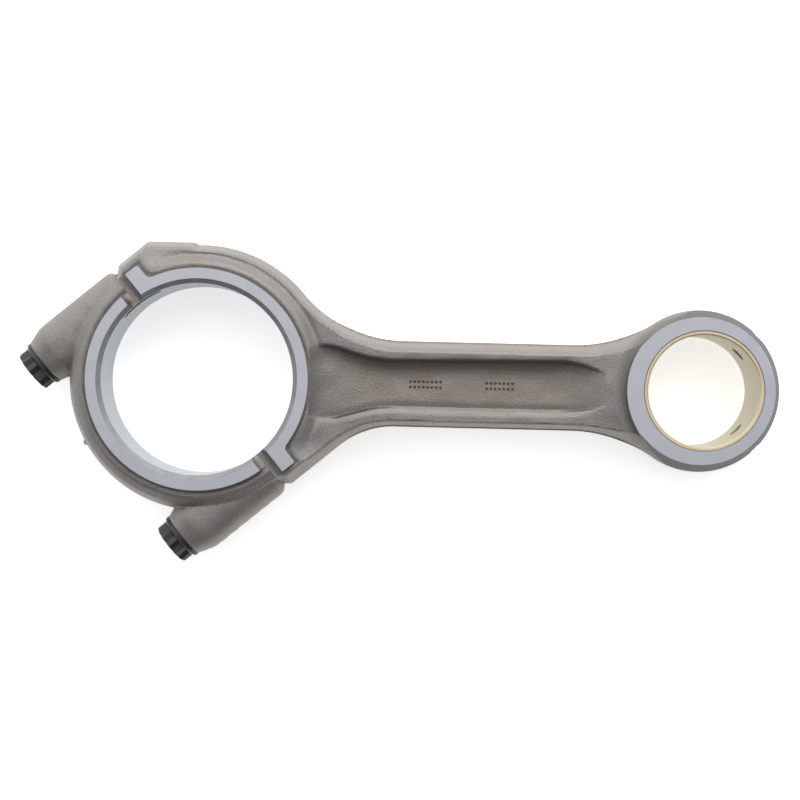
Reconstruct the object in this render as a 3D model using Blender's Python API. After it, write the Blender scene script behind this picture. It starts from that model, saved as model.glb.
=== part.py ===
"""Heavy-duty connecting rod with an oblique, fracture-split big end.

The rod lies on its side face: +Z is the direction of both pins, +X runs from the big end to the
small end, and the assembly's bounding box is centred over the origin.  All sizes are millimetres
in the constants below and are turned into metres when the vertices are made.

Working frame ("rod frame"): origin in the big-end centre at mid width.  The joint of the big end
has a frame of its own: u runs along the joint face, v stands square to it, towards the shank.
"""
import math

import bmesh
import bpy
from mathutils import Vector

MM = 0.001

# ---- driving dimensions, mm ----
CENTRE_DISTANCE = 256.0
WIDTH = 44.0                 # over the machined faces of both ends
JOINT_ANGLE = 50.0           # between the joint face and the rod's axis, degrees
GAP = 0.3                    # working gap left between neighbouring pieces

BIG_BORE_R = 48.5
BIG_CHAMFER = 2.3
BIG_FACE_R = 56.1            # machined thrust ring
FORGE_HALF = 19.4            # half thickness of the raw forging around the big end
ROD_RING_R = 69.2
CAP_RING_R = 67.6

EAR_HALF_LENGTH = 63.5       # machined ears beside the joint, along u
EAR_V = 12.7
RELIEF_R = 4.4               # round-bottomed groove along the joint on each side face
RELIEF_DEPTH = 3.5
RELIEF_V = 0.6

SMALL_BORE_R = 30.4
SMALL_FACE_R = 36.6
SMALL_FACE_SHANK_R = 39.0
EYE_R = 42.2
BUSH_OUTER_R = 30.1
BUSH_INNER_R = 28.3
BUSH_INSET = 0.3
OIL_HOLE_ANGLE = 44.0
OIL_HOLE_R = 3.3
BUSH_OIL_R = 4.0

FLANGE_HALF = 15.6           # half thickness of the shank's flanges
WEB_HALF = 6.4
FLANK_DRAFT = 2.1            # how far the flanks lean in from parting line to top

BOSS_R = 14.9                # cap bosses around the bolts
SEAT_R = 12.4
FAIRING_HALF = 9.5           # half thickness of the fairing between boss and ring
BOLT_U = 57.0
BOLT_SEAT_V = -56.3
BOLT_HOLE_R = 7.0
BOLT_R = 6.7
BOLT_TIP_V = 25.0
BOLT_HOLE_END_V = 28.0
BOLT_FLANGE_R = 12.25
BOLT_HEAD_R = 10.9           # over the twelve points
BOLT_HEAD_HEIGHT = 9.2

TANG_DEPTH = 1.7
TANG_HALF_LENGTH = 8.7
TANG_Z = (11.5, 18.0)

HALF = WIDTH / 2
ANG = math.radians(JOINT_ANGLE)
U_DIR = Vector((math.cos(ANG), -math.sin(ANG), 0.0))
V_DIR = Vector((math.sin(ANG), math.cos(ANG), 0.0))


# ---- small tools ----
def joint_point(u, v, z=0.0):
    """A point given in the joint's frame, as a rod-frame vector in mm."""
    return U_DIR * u + V_DIR * v + Vector((0.0, 0.0, z))


def mesh_object(name, points, faces, collection=None):
    """Make an object from millimetre points, with its faces turned outwards."""
    mesh = bpy.data.meshes.new(name)
    mesh.from_pydata([tuple(Vector(p) * MM) for p in points], [], faces)
    work = bmesh.new()
    work.from_mesh(mesh)
    bmesh.ops.recalc_face_normals(work, faces=work.faces)
    work.to_mesh(mesh)
    work.free()
    obj = bpy.data.objects.new(name, mesh)
    bpy.context.scene.collection.objects.link(obj)
    return obj


def stack(name, rings):
    """Close a stack of equally long point rings into one body."""
    count = len(rings[0])
    points = [p for ring in rings for p in ring]
    faces = [tuple(range(count))[::-1]]
    for k in range(len(rings) - 1):
        for i in range(count):
            j = (i + 1) % count
            a, b = k * count, (k + 1) * count
            faces.append((a + i, a + j, b + j, b + i))
    faces.append(tuple(range((len(rings) - 1) * count, len(rings) * count)))
    return mesh_object(name, points, faces)


def helper(obj):
    """Keep a construction body out of the result."""
    obj.hide_render = True
    obj.display_type = 'WIRE'
    return obj


def turned(name, profile, centre, segments):
    """Body turned about a line along Z from (radius, z) pairs that run bottom to top."""
    rings = []
    for radius, z in profile:
        rings.append([
            (centre[0] + radius * math.cos(2 * math.pi * i / segments),
             centre[1] + radius * math.sin(2 * math.pi * i / segments), z)
            for i in range(segments)])
    return stack(name, rings)


def mirrored(profile):
    """Complete a (radius, z) profile, given from z = 0 upwards, to both sides of the mid plane."""
    lower = [(r, -z) for r, z in reversed(profile) if z > 0]
    return lower + list(profile)


def bar(name, start, end, radius, segments, tip=0.0):
    """Round bar between two rod-frame points, with an optional drill point of length tip."""
    start, end = Vector(start), Vector(end)
    axis = (end - start).normalized()
    side = Vector((0.0, 0.0, 1.0)) if abs(axis.z) < 0.9 else Vector((1.0, 0.0, 0.0))
    first = axis.cross(side).normalized()
    second = axis.cross(first)
    stations = [(start, radius), (end, radius)]
    if tip > 0.0:
        stations.append((end + axis * tip, radius * 0.12))
    rings = []
    for centre, r in stations:
        rings.append([
            centre + (first * math.cos(t) + second * math.sin(t)) * r
            for t in (2 * math.pi * i / segments for i in range(segments))])
    return stack(name, rings)


def inset_outline(outline, depth):
    """Move every side of a closed counter-clockwise outline inwards by depth."""
    result = []
    count = len(outline)
    for i in range(count):
        before, here, after = (Vector(outline[(i + k) % count]) for k in (-1, 0, 1))
        first = (here - before).normalized()
        second = (after - here).normalized()
        n1, n2 = Vector((-first.y, first.x)), Vector((-second.y, second.x))
        bisector = (n1 + n2) / max(1.0 + n1.dot(n2), 0.35)
        result.append(here + bisector * depth)
    return result


def drafted(name, outline, half, draft):
    """Plate on both sides of the mid plane whose flanks lean in towards its faces."""
    rings = []
    for z, depth in ((-half, draft), (-half * 0.8, draft * 0.55), (0.0, 0.0),
                     (half * 0.8, draft * 0.55), (half, draft)):
        rings.append([(p[0], p[1], z) for p in inset_outline(outline, depth)])
    return stack(name, rings)


def box_along_joint(name, u, v, z):
    """Box with its sides along the joint frame, from (low, high) pairs."""
    corners = ((u[0], v[0]), (u[1], v[0]), (u[1], v[1]), (u[0], v[1]))
    return stack(name, [[joint_point(a, b, level) for a, b in corners] for level in z])


def boolean(obj, other, operation):
    """Add or take away another body."""
    step = obj.modifiers.new(operation.lower() + '_' + other.name, 'BOOLEAN')
    step.operation = operation
    step.solver = 'EXACT'
    step.object = helper(other)


def add(obj, *others):
    for other in others:
        boolean(obj, other, 'UNION')


def cut(obj, *others):
    for other in others:
        boolean(obj, other, 'DIFFERENCE')


def ramp(x, knots):
    """Smooth interpolation through (x, value) knots."""
    if x <= knots[0][0]:
        return knots[0][1]
    for (x0, y0), (x1, y1) in zip(knots, knots[1:]):
        if x <= x1:
            t = (x - x0) / (x1 - x0)
            return y0 + (y1 - y0) * t * t * (3 - 2 * t)
    return knots[-1][1]


def line(x, knots):
    """Straight interpolation through (x, value) knots."""
    for (x0, y0), (x1, y1) in zip(knots, knots[1:]):
        if x <= x1:
            return y0 + (y1 - y0) * (x - x0) / (x1 - x0)
    return knots[-1][1]


def material(name, colour, metallic, roughness):
    result = bpy.data.materials.new(name)
    result.use_nodes = True
    shader = result.node_tree.nodes['Principled BSDF']
    shader.inputs['Base Color'].default_value = (*colour, 1.0)
    shader.inputs['Metallic'].default_value = metallic
    shader.inputs['Roughness'].default_value = roughness
    result.diffuse_color = (*colour, 1.0)
    return result


# ---- forged bodies ----
def shank_section(x):
    """Closed I-shaped section of the shank at x, as (x, y, z) points."""
    upper = line(x, ((50, 47.0), (56, 40.4), (62, 35.6), (68, 31.8), (75, 28.4), (83, 25.3), (91, 23.2),
                     (100, 22.1), (135, 21.6), (192, 21.6), (203, 22.9), (212, 25.0), (220, 27.8),
                     (226, 31.0), (232, 34.6)))
    lower = line(x, ((50, -51.2), (62, -41.2), (70, -34.4), (76.4, -29.0), (82, -25.2), (90, -22.9),
                     (103, -21.8), (140, -22.2), (193, -22.6), (204, -23.6), (214, -26.4),
                     (221, -29.2), (227, -32.4), (233, -36.0)))
    top = ramp(x, ((50, 19.1), (60, 18.6), (82, FLANGE_HALF), (196, FLANGE_HALF), (212, 18.0),
                   (219, 21.7)))
    web = ramp(x, ((58, 18.2), (66, 14.6), (88, WEB_HALF), (188, WEB_HALF), (208, 17.0), (214, 18.6),
                   (219, 21.6)))
    web = min(web, top - 0.15)
    pocket_up = line(x, ((50, 17.0), (60, 18.4), (68, 18.6), (75, 16.4), (84, 13.6), (94, 11.8),
                         (135, 12.4), (187, 13.2), (195, 11.6), (202, 9.2), (214, 8.0)))
    pocket_low = line(x, ((50, -17.0), (60, -18.2), (69, -18.4), (76, -16.4), (88, -11.6), (102, -10.4),
                          (140, -11.4), (188, -12.8), (196, -11.4), (203, -9.8), (214, -8.2)))
    depth = top - web
    lean = min(2.6, 0.3 * depth + 0.3)
    half = [
        (upper, 0.0), (upper - FLANK_DRAFT * 0.55, top * 0.72), (upper - FLANK_DRAFT, top - 1.3),
        (upper - FLANK_DRAFT - 1.3, top), (pocket_up + 1.4, top), (pocket_up, top - 0.2 * depth),
        (pocket_up - lean, web + 0.18 * depth), (pocket_up - lean - 1.8, web),
        (pocket_low + lean + 1.8, web), (pocket_low + lean, web + 0.18 * depth),
        (pocket_low, top - 0.2 * depth), (pocket_low - 1.4, top), (lower + FLANK_DRAFT + 1.3, top),
        (lower + FLANK_DRAFT, top - 1.3), (lower + FLANK_DRAFT * 0.55, top * 0.72), (lower, 0.0)]
    ring = half + [(y, -z) for y, z in reversed(half[1:-1])]
    return [(x, y, z) for y, z in ring]


def make_shank():
    stations = (50, 56, 62, 68, 75, 82, 88, 94, 102, 118, 135, 152, 170, 187, 192, 197, 202, 208, 214,
                219, 226, 232)
    return stack('shank_form', [shank_section(x) for x in stations])


def ring_profile(outer, shoulder):
    """Flank of the big end's ring from the mid plane up to the machined face."""
    return mirrored([
        (outer, 0.0), (outer - 0.5, 5.0), (outer - 1.5, 10.5), (outer - shoulder, 14.6),
        (outer - shoulder - 2.6, 17.6), (BIG_FACE_R + 2.4, FORGE_HALF - 0.2), (BIG_FACE_R + 0.5, FORGE_HALF + 0.4),
        (BIG_FACE_R, HALF)])


def round_stack(name, u, profile, segments):
    """Body turned about a bolt's axis at u from (v, radius) pairs."""
    rings = []
    for v, radius in profile:
        rings.append([joint_point(u + radius * math.cos(t), v, radius * math.sin(t))
                      for t in (2 * math.pi * i / segments for i in range(segments))])
    return stack(name, rings)


def make_rod(cutters):
    rod = turned('rod_body', ring_profile(ROD_RING_R, 2.2), (0, 0), 120)
    eye = turned('eye_form', mirrored([
        (EYE_R, 0.0), (EYE_R - 0.4, 5.0), (EYE_R - 3.4, HALF - 4.0), (SMALL_FACE_R + 1.1, HALF - 1.0),
        (SMALL_FACE_R, HALF)]), (CENTRE_DISTANCE, 0), 96)
    corner = joint_point(-72.4, 23.5)
    upper_ear = drafted('upper_ear_form', [
        joint_point(-50.0, -4.0).xy, joint_point(-50.0, 26.0).xy, (-1.0, 60.0), (-2.6, 69.4),
        (-6.2, 70.5), (corner.x + 1.2, 70.5), joint_point(-72.4, 22.2).xy, joint_point(-72.4, 3.8).xy,
        joint_point(-69.0, 0.0).xy, joint_point(-69.0, -4.0).xy], FORGE_HALF, FLANK_DRAFT)
    lower_ear = drafted('lower_ear_form', [
        joint_point(50.0, -4.0).xy, joint_point(68.8, -4.0).xy, joint_point(68.8, 0.0).xy,
        joint_point(71.2, 3.1).xy, joint_point(71.2, 24.0).xy, joint_point(62.0, 31.0).xy,
        joint_point(50.0, 31.0).xy], FORGE_HALF - 0.1, FLANK_DRAFT)
    ears = box_along_joint('ear_face_form', (-EAR_HALF_LENGTH, EAR_HALF_LENGTH), (-3.0, EAR_V),
                           (-HALF + 0.01, HALF - 0.01))
    add(rod, make_shank(), eye, upper_ear, lower_ear, ears)
    half_space = box_along_joint('rod_side_cut', (-120, 120), (-120, GAP / 2), (-40, 40))
    cut(rod, half_space, *cutters)
    cut(rod, bar('small_bore_cut', (CENTRE_DISTANCE, 0, -40), (CENTRE_DISTANCE, 0, 40), SMALL_BORE_R, 96))
    for sign in (1, -1):
        angle = math.radians(OIL_HOLE_ANGLE * sign)
        way = Vector((math.cos(angle), math.sin(angle), 0.0))
        centre = Vector((CENTRE_DISTANCE, 0.0, 0.0))
        cut(rod, bar('oil_hole_cut', centre + way * (SMALL_BORE_R - 5), centre + way * (EYE_R + 5),
                     OIL_HOLE_R, 16))
        hole = bar('bolt_hole_cut', joint_point(BOLT_U * sign, -10), joint_point(BOLT_U * sign, BOLT_HOLE_END_V),
                   BOLT_HOLE_R, 32, tip=3.4)
        cut(rod, hole)
    return rod


def make_cap(cutters):
    cap = turned('bearing_cap', mirrored([
        (CAP_RING_R, 0.0), (CAP_RING_R - 0.6, 5.0), (CAP_RING_R - 2.6, 10.5), (CAP_RING_R - 5.6, 15.2),
        (CAP_RING_R - 8.6, 17.8), (BIG_FACE_R + 0.7, FORGE_HALF - 0.3), (BIG_FACE_R, HALF)]), (0, 0), 120)
    bosses = []
    for sign in (1, -1):
        bosses.append(round_stack('boss_form', BOLT_U * sign, (
            (4.0, 12.4), (0.0, 12.4), (-2.5, BOSS_R), (-46.5, BOSS_R - 0.2), (-49.0, BOSS_R - 0.8),
            (BOLT_SEAT_V, SEAT_R)), 48))
    upper = drafted('upper_fairing_form', [joint_point(u, v).xy for u, v in (
        (-60.0, -10.0), (-60.0, -55.9), (-44.9, -55.9), (-38.6, -54.4), (-36.0, -44.0), (-50.0, -10.0))],
        FAIRING_HALF, 1.0)
    lower = drafted('lower_fairing_form', [joint_point(u, v).xy for u, v in (
        (60.0, -10.0), (50.0, -10.0), (36.0, -44.0), (38.8, -54.6), (44.9, -55.9), (60.0, -55.9))],
        FAIRING_HALF, 1.0)
    bosses += [upper, lower]
    add(cap, *bosses)
    half_space = box_along_joint('cap_side_cut', (-120, 120), (-GAP / 2, 120), (-40, 40))
    cut(cap, half_space, *cutters)
    for sign in (1, -1):
        cut(cap, bar('cap_bolt_hole_cut', joint_point(BOLT_U * sign, -80), joint_point(BOLT_U * sign, 20),
                     BOLT_HOLE_R, 32))
    return cap


def shared_cutters():
    """Machining that was done across rod and cap together."""
    reach = BIG_CHAMFER + 6.0
    bore = turned('big_bore_cut', mirrored([
        (BIG_BORE_R, 0.0), (BIG_BORE_R, HALF - BIG_CHAMFER), (BIG_BORE_R + reach, HALF - BIG_CHAMFER + reach)]),
        (0, 0), 128)
    level = HALF - RELIEF_DEPTH + RELIEF_R
    grooves = [bar('relief_cut', joint_point(-90, RELIEF_V, level * s), joint_point(90, RELIEF_V, level * s),
                   RELIEF_R, 28) for s in (1, -1)]
    radius = (TANG_HALF_LENGTH ** 2 + TANG_DEPTH ** 2) / (2 * TANG_DEPTH)
    centre_u = -(BIG_BORE_R + TANG_DEPTH - radius)
    notch = bar('tang_notch_cut', joint_point(centre_u, 1.1, TANG_Z[0]), joint_point(centre_u, 1.1, TANG_Z[1]),
                radius, 64)
    return [bore, *grooves, notch]


def make_bush():
    half = HALF - BUSH_INSET
    segments = 96
    chamfer = 0.9
    outline = [
        (BUSH_INNER_R, -half + chamfer), (BUSH_INNER_R, half - chamfer), (BUSH_INNER_R + chamfer, half),
        (BUSH_OUTER_R - 0.5, half), (BUSH_OUTER_R, half - 0.5), (BUSH_OUTER_R, -half + 0.5),
        (BUSH_OUTER_R - 0.5, -half), (BUSH_INNER_R + chamfer, -half)]
    points, faces = [], []
    count = len(outline)
    for i in range(segments):
        angle = 2 * math.pi * i / segments
        for r, z in outline:
            points.append((CENTRE_DISTANCE + r * math.cos(angle), r * math.sin(angle), z))
        for k in range(count):
            a, b = i * count, ((i + 1) % segments) * count
            faces.append((a + k, b + k, b + (k + 1) % count, a + (k + 1) % count))
    bush = mesh_object('small_end_bush', points, faces)
    for sign in (1, -1):
        angle = math.radians(OIL_HOLE_ANGLE * sign)
        way = Vector((math.cos(angle), math.sin(angle), 0.0))
        centre = Vector((CENTRE_DISTANCE, 0.0, 0.0))
        cut(bush, bar('bush_oil_cut', centre + way * (BUSH_INNER_R - 5), centre + way * (BUSH_OUTER_R + 3),
                      BUSH_OIL_R, 20))
    return bush


# ---- bolts ----
def twelve_point(angle, corner_radius):
    """Radius of a double hexagon in the given direction."""
    flat = corner_radius * math.cos(math.pi / 6)
    return max(flat / math.cos((angle + shift) % (math.pi / 3) - math.pi / 6) for shift in (0.0, math.pi / 6))


def make_bolt(name, u):
    segments = 48
    seat = BOLT_SEAT_V - GAP
    top = BOLT_SEAT_V - BOLT_HEAD_HEIGHT
    rows = [
        (top, 'star', BOLT_HEAD_R * 0.96), (top + 0.5, 'star', BOLT_HEAD_R),
        (seat - 3.2, 'star', BOLT_HEAD_R), (seat - 2.9, 'round', BOLT_FLANGE_R - 0.9),
        (seat - 1.9, 'round', BOLT_FLANGE_R), (seat, 'round', BOLT_FLANGE_R), (seat + 0.01, 'round', BOLT_R + 0.05),
        (0.0, 'round', BOLT_R), (BOLT_TIP_V - 1.5, 'round', BOLT_R), (BOLT_TIP_V, 'round', BOLT_R - 1.4)]
    rings = []
    for v, kind, radius in rows:
        ring = []
        for i in range(segments):
            angle = 2 * math.pi * i / segments
            r = twelve_point(angle, radius) if kind == 'star' else radius
            ring.append(joint_point(u + r * math.cos(angle), v, r * math.sin(angle)))
        rings.append(ring)
    return stack(name, rings)


# ---- assembly ----
def centre_on_origin(pieces):
    """Move everything so that the pieces' bounding box stands centred over the origin."""
    bpy.context.view_layer.update()
    graph = bpy.context.evaluated_depsgraph_get()
    corners = []
    for piece in pieces:
        result = piece.evaluated_get(graph)
        corners += [result.matrix_world @ vertex.co for vertex in result.data.vertices]
    low = [min(c[k] for c in corners) for k in range(3)]
    high = [max(c[k] for c in corners) for k in range(3)]
    shift = Vector((-(low[0] + high[0]) / 2, -(low[1] + high[1]) / 2, -low[2]))
    for obj in bpy.data.objects:
        obj.location = shift
    bpy.context.view_layer.update()
    print('big-end centre at', tuple(round(c, 6) for c in shift))


def main():
    for old in list(bpy.data.objects):
        bpy.data.objects.remove(old)
    cutters = shared_cutters()
    rod = make_rod(cutters)
    cap = make_cap(cutters)
    bush = make_bush()
    upper_bolt = make_bolt('upper_cap_bolt', -BOLT_U)
    lower_bolt = make_bolt('lower_cap_bolt', BOLT_U)
    forged = ((0.205, 0.2, 0.2), 0.85, 0.55)
    for piece, look in ((rod, forged), (cap, forged), (bush, ((0.62, 0.5, 0.3), 0.9, 0.35)),
                        (upper_bolt, ((0.045, 0.045, 0.05), 0.8, 0.45)),
                        (lower_bolt, ((0.045, 0.045, 0.05), 0.8, 0.45))):
        piece.data.materials.append(material(piece.name + '_metal', *look))
    centre_on_origin([rod, cap, bush, upper_bolt, lower_bolt])


main()
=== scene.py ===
"""Looks of a forged connecting rod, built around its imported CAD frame.

The rod and its bearing cap are forgings: each is a height over the parting plane, turned into a
closed surface and then machined with crisp cutters.  Lengths in the property groups are metres;
the shape code works in millimetres in the rod's own frame, with its origin in the big-end centre
at mid width, x towards the small end and z along the pins.  The joint of the big end has a frame
of its own: u runs along the joint face, v stands square to it, towards the shank.
"""
import math
import bmesh
import bpy
import numpy as np
from bpy.props import FloatProperty, IntProperty, PointerProperty, StringProperty
from mathutils import Matrix, Vector


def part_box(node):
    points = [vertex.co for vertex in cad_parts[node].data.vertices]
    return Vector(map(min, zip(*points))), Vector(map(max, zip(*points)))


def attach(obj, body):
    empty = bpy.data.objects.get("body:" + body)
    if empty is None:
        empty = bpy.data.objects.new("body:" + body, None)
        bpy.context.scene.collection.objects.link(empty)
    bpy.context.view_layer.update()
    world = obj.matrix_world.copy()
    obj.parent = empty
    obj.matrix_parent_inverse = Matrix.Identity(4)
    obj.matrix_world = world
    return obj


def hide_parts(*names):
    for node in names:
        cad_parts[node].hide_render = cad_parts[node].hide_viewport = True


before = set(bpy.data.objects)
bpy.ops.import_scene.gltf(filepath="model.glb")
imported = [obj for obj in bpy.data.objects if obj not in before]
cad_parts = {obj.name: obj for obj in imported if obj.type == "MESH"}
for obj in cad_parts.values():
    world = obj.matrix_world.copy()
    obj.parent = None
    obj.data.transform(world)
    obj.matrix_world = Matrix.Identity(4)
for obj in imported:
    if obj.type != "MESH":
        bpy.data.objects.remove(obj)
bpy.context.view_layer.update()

bl_info = {
    "name": "Connecting Rod Looks",
    "version": (1, 0, 0),
    "blender": (4, 5, 0),
    "location": "View3D > Sidebar > Rod",
    "description": "Builds the forged rod, its cap, bush, bolts and stage around the packed frame",
    "category": "Object",
}

MM = 0.001
BUSH_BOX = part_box("small_end_bush")
CENTRE_DISTANCE = 256.0
JOINT_ANGLE = math.radians(50.0)
SMALL_CENTRE = [(a + b) / 2 for a, b in zip(*BUSH_BOX)]
ORIGIN = Vector((SMALL_CENTRE[0] - CENTRE_DISTANCE * MM, SMALL_CENTRE[1], SMALL_CENTRE[2]))
U_DIR = np.array([math.cos(JOINT_ANGLE), -math.sin(JOINT_ANGLE)])
V_DIR = np.array([math.sin(JOINT_ANGLE), math.cos(JOINT_ANGLE)])

HALF = 22.0                   # half width over the ground faces
LAND = 15.6                   # half thickness of the forging's flat land and flanges
WEB = 6.4                     # half thickness of the web between the flanges
FLANK_RISE = 4.2              # height gained per millimetre in from the parting line
LOW_FLANK_RISE = 7.2          # the same along the shank's lower side
FACE_R = 56.1                 # ground ring of the big end
EAR_U, EAR_V = 63.5, 12.7     # ground ears beside the joint
EYE_FACE_X = -1.7             # how far the small end's ground face sits from its bore's centre
EYE_FACE_R = 37.2             # radius of that face
BOLT_U, SEAT_V = 57.0, -56.3  # bolt axes along the joint, and the seats of their flanges
BOLT_HOLE = 7.0               # radius of the bolt holes
BOLT_REACH = 25.0             # how far the bolts reach into the rod
RELIEF_R = 4.4                # radius of the round channel across the joint
RELIEF_DEPTH = 3.5            # depth of that channel under the ground faces
RELIEF_V = 0.6                # how far the channel's middle lies from the joint
OIL_ANGLE = 44.0              # degrees between each oil hole and the rod's length
GAP = 0.04                    # half the gap left along the joint, which hardly shows
SKIN_FIT = 0.12               # a face this close to the forged shape is still raw skin


# ---------------------------------------------------------------- settings
class RodSizes(bpy.types.PropertyGroup):
    big_bore: FloatProperty(name="Big-end bore radius", description="Radius of the crank pin's housing",
                            default=48.5 * MM, unit='LENGTH')
    big_chamfer: FloatProperty(name="Big-end chamfer", description="Lead-in chamfers of the bore",
                               default=2.3 * MM, unit='LENGTH')
    small_bore: FloatProperty(name="Small-end bore radius", description="Radius of the bush's housing",
                              default=30.4 * MM, unit='LENGTH')
    spot_face: FloatProperty(name="Spot-face radius", description="Inner radius of the hollow beside the eye",
                             default=39.0 * MM, unit='LENGTH')
    rod_grid: FloatProperty(name="Rod grid", description="Cell size of the rod's surface",
                            default=1.04 * MM, unit='LENGTH')
    cap_grid: FloatProperty(name="Cap grid", description="Cell size of the cap's surface",
                            default=0.85 * MM, unit='LENGTH')
    wave: FloatProperty(name="Forging waviness", description="Height of the forging's slow unevenness",
                        default=0.10 * MM, unit='LENGTH')


class BushSizes(bpy.types.PropertyGroup):
    outer: FloatProperty(name="Outer radius", description="Radius of the bush in its housing",
                         default=30.25 * MM, unit='LENGTH')
    inner: FloatProperty(name="Inner radius", description="Radius of the piston pin's bearing surface",
                         default=28.3 * MM, unit='LENGTH')
    inset: FloatProperty(name="Inset", description="How far the bush stays below the rod's ground face",
                         default=0.2 * MM, unit='LENGTH')
    oil_hole: FloatProperty(name="Oil hole radius", description="Radius of the two oil holes",
                            default=4.0 * MM, unit='LENGTH')


class BoltSizes(bpy.types.PropertyGroup):
    head_radius: FloatProperty(name="Head radius", description="Radius over the twelve points",
                               default=10.85 * MM, unit='LENGTH')
    head_height: FloatProperty(name="Head height", description="Height of head and flange together",
                               default=9.1 * MM, unit='LENGTH')
    flange_radius: FloatProperty(name="Flange radius", description="Radius of the flange under the head",
                                 default=12.25 * MM, unit='LENGTH')
    thread_radius: FloatProperty(name="Thread radius", description="Radius over the thread's crests",
                                 default=6.85 * MM, unit='LENGTH')
    pitch: FloatProperty(name="Thread pitch", description="Rise of the thread in one turn",
                         default=2.0 * MM, unit='LENGTH')
    turns: IntProperty(name="Thread turns", description="Number of turns cut on the bolt", default=15, min=1)


def colour_property(name, text, default):
    return StringProperty(name=name, description=text, default=default)


class FinishColours(bpy.types.PropertyGroup):
    forging: colour_property("Forging", "Shot-blasted forged steel", "#7e7c7a")
    # painted light: the pocket tone that forged_steel lays on by depth below the flanges
    forging_painted_depth_tone: colour_property("Forging, shaded", "Scale left in the forging's hollows", "#877e77")
    ground: colour_property("Ground faces", "Ground side faces", "#bcbcc5")
    bore: colour_property("Bore", "Honed housing bore", "#989ea3")
    turned: colour_property("Turned edges", "Chamfers and turned steps", "#9b9da0")
    side: colour_property("Side of the eye", "Dull turned side of the small end", "#353638")
    bronze: colour_property("Bronze", "Bored bronze bush", "#c2bba6")
    bronze_edge: colour_property("Bronze edge", "Turned chamfer of the bush", "#d2c6aa")
    phosphate: colour_property("Bolt", "Black phosphate on the bolts", "#353437")
    # rust, darkened to paint the shade in that corner as well
    rust: colour_property("Rust", "Light rust in a corner of the joint", "#4f2c18")
    etched: colour_property("Marks", "Heat-tinted punch marks in the web", "#4c3626")
    floor: colour_property("Floor", "Plain pale floor", "#f6f6f6")


class StageSizes(bpy.types.PropertyGroup):
    camera_height: FloatProperty(name="Camera height", description="Height of the camera over the floor",
                                 default=0.952, unit='LENGTH')
    lens: FloatProperty(name="Lens", description="Focal length in millimetres", default=81.2)
    roll: FloatProperty(name="Roll", description="Turn of the camera about its line of sight",
                        default=math.radians(1.36), subtype='ANGLE')
    sky_low: FloatProperty(name="Sky, dark side", description="Sky strength on the rod's lower side",
                           default=0.13)
    sky_high: FloatProperty(name="Sky, light side", description="Sky strength on the rod's upper side",
                            default=1.95)
    key: FloatProperty(name="Key light", description="Power of the soft light", default=10.2)


# ---------------------------------------------------------------- shape maths
def joint_xy(u, v):
    """Rod-frame x and y of a point in the joint's frame."""
    return u * U_DIR[0] + v * V_DIR[0], u * U_DIR[1] + v * V_DIR[1]


def to_joint(x, y):
    return x * U_DIR[0] + y * U_DIR[1], x * V_DIR[0] + y * V_DIR[1]


def soft_min(a, b, k):
    h = np.clip(0.5 + 0.5 * (b - a) / k, 0.0, 1.0)
    return b + (a - b) * h - k * h * (1.0 - h)


def soft_max(a, b, k):
    return -soft_min(-a, -b, k)


def eased(x, knots, width):
    """Straight interpolation through knots, rounded over width to both sides."""
    xs, ys = zip(*knots)
    return sum(np.interp(x + width * t, xs, ys) for t in (-1, -0.5, 0, 0.5, 1)) / 5.0


def arc(centre, radius, start, end, count):
    """Points along an arc; angles in degrees."""
    for t in np.linspace(math.radians(start), math.radians(end), count):
        yield centre[0] + radius * math.cos(t), centre[1] + radius * math.sin(t)


def neck(side, half_width, eye):
    """Fillet from the shank's edge to the eye, tangent to both: its points, and the angle where it ends."""
    radius = 73.8
    across = half_width + radius
    along = math.sqrt((radius + eye[1]) ** 2 - across ** 2)
    swing = math.degrees(math.asin(across / (radius + eye[1])))
    points = arc((eye[0] - along, side * across), radius, -90.0 * side, -swing * side, 16)
    return list(points), 180.0 - swing


def rod_outline():
    """Parting line of the rod, counter-clockwise."""
    ring = 69.2                             # outside of the big end
    eye = (CENTRE_DISTANCE + 0.5, 41.7)     # centre and radius of the small end's outside
    top, low = 21.7, 21.5                   # half widths of the shank
    ear, fillet, shoulder = 71.2, 40.0, 68.6
    lower_neck, lower_angle = neck(-1, low, eye)
    upper_neck, upper_angle = neck(1, top, eye)
    points = [joint_xy(-69.0, -10), joint_xy(68.8, -10), joint_xy(68.8, 0.0), joint_xy(ear, 3.1),
              joint_xy(ear, 36.0)]
    # lower side: fillet from the ear's edge into the shank, then into the eye
    points += list(arc(joint_xy(ear + fillet, 36.9), fillet, 130.0, 90.0, 10))
    points += lower_neck
    points += list(arc((eye[0], 0.0), eye[1], -lower_angle, upper_angle, 90))
    # upper side: back along the shank and over the shoulder to the ear with the square nose
    points += upper_neck[::-1]
    points += list(arc((104.0, top + shoulder), shoulder, -90.0, -139.0, 20))
    points += list(arc((0.0, 0.0), ring, 41.5, 92.0, 34))
    points += [(-3.6, 70.1), (-6.4, 70.46), (-28.4, 70.46), joint_xy(-72.4, 22.2), joint_xy(-72.4, 3.8),
               joint_xy(-69.0, 0.0)]
    return np.array(points)


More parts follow.
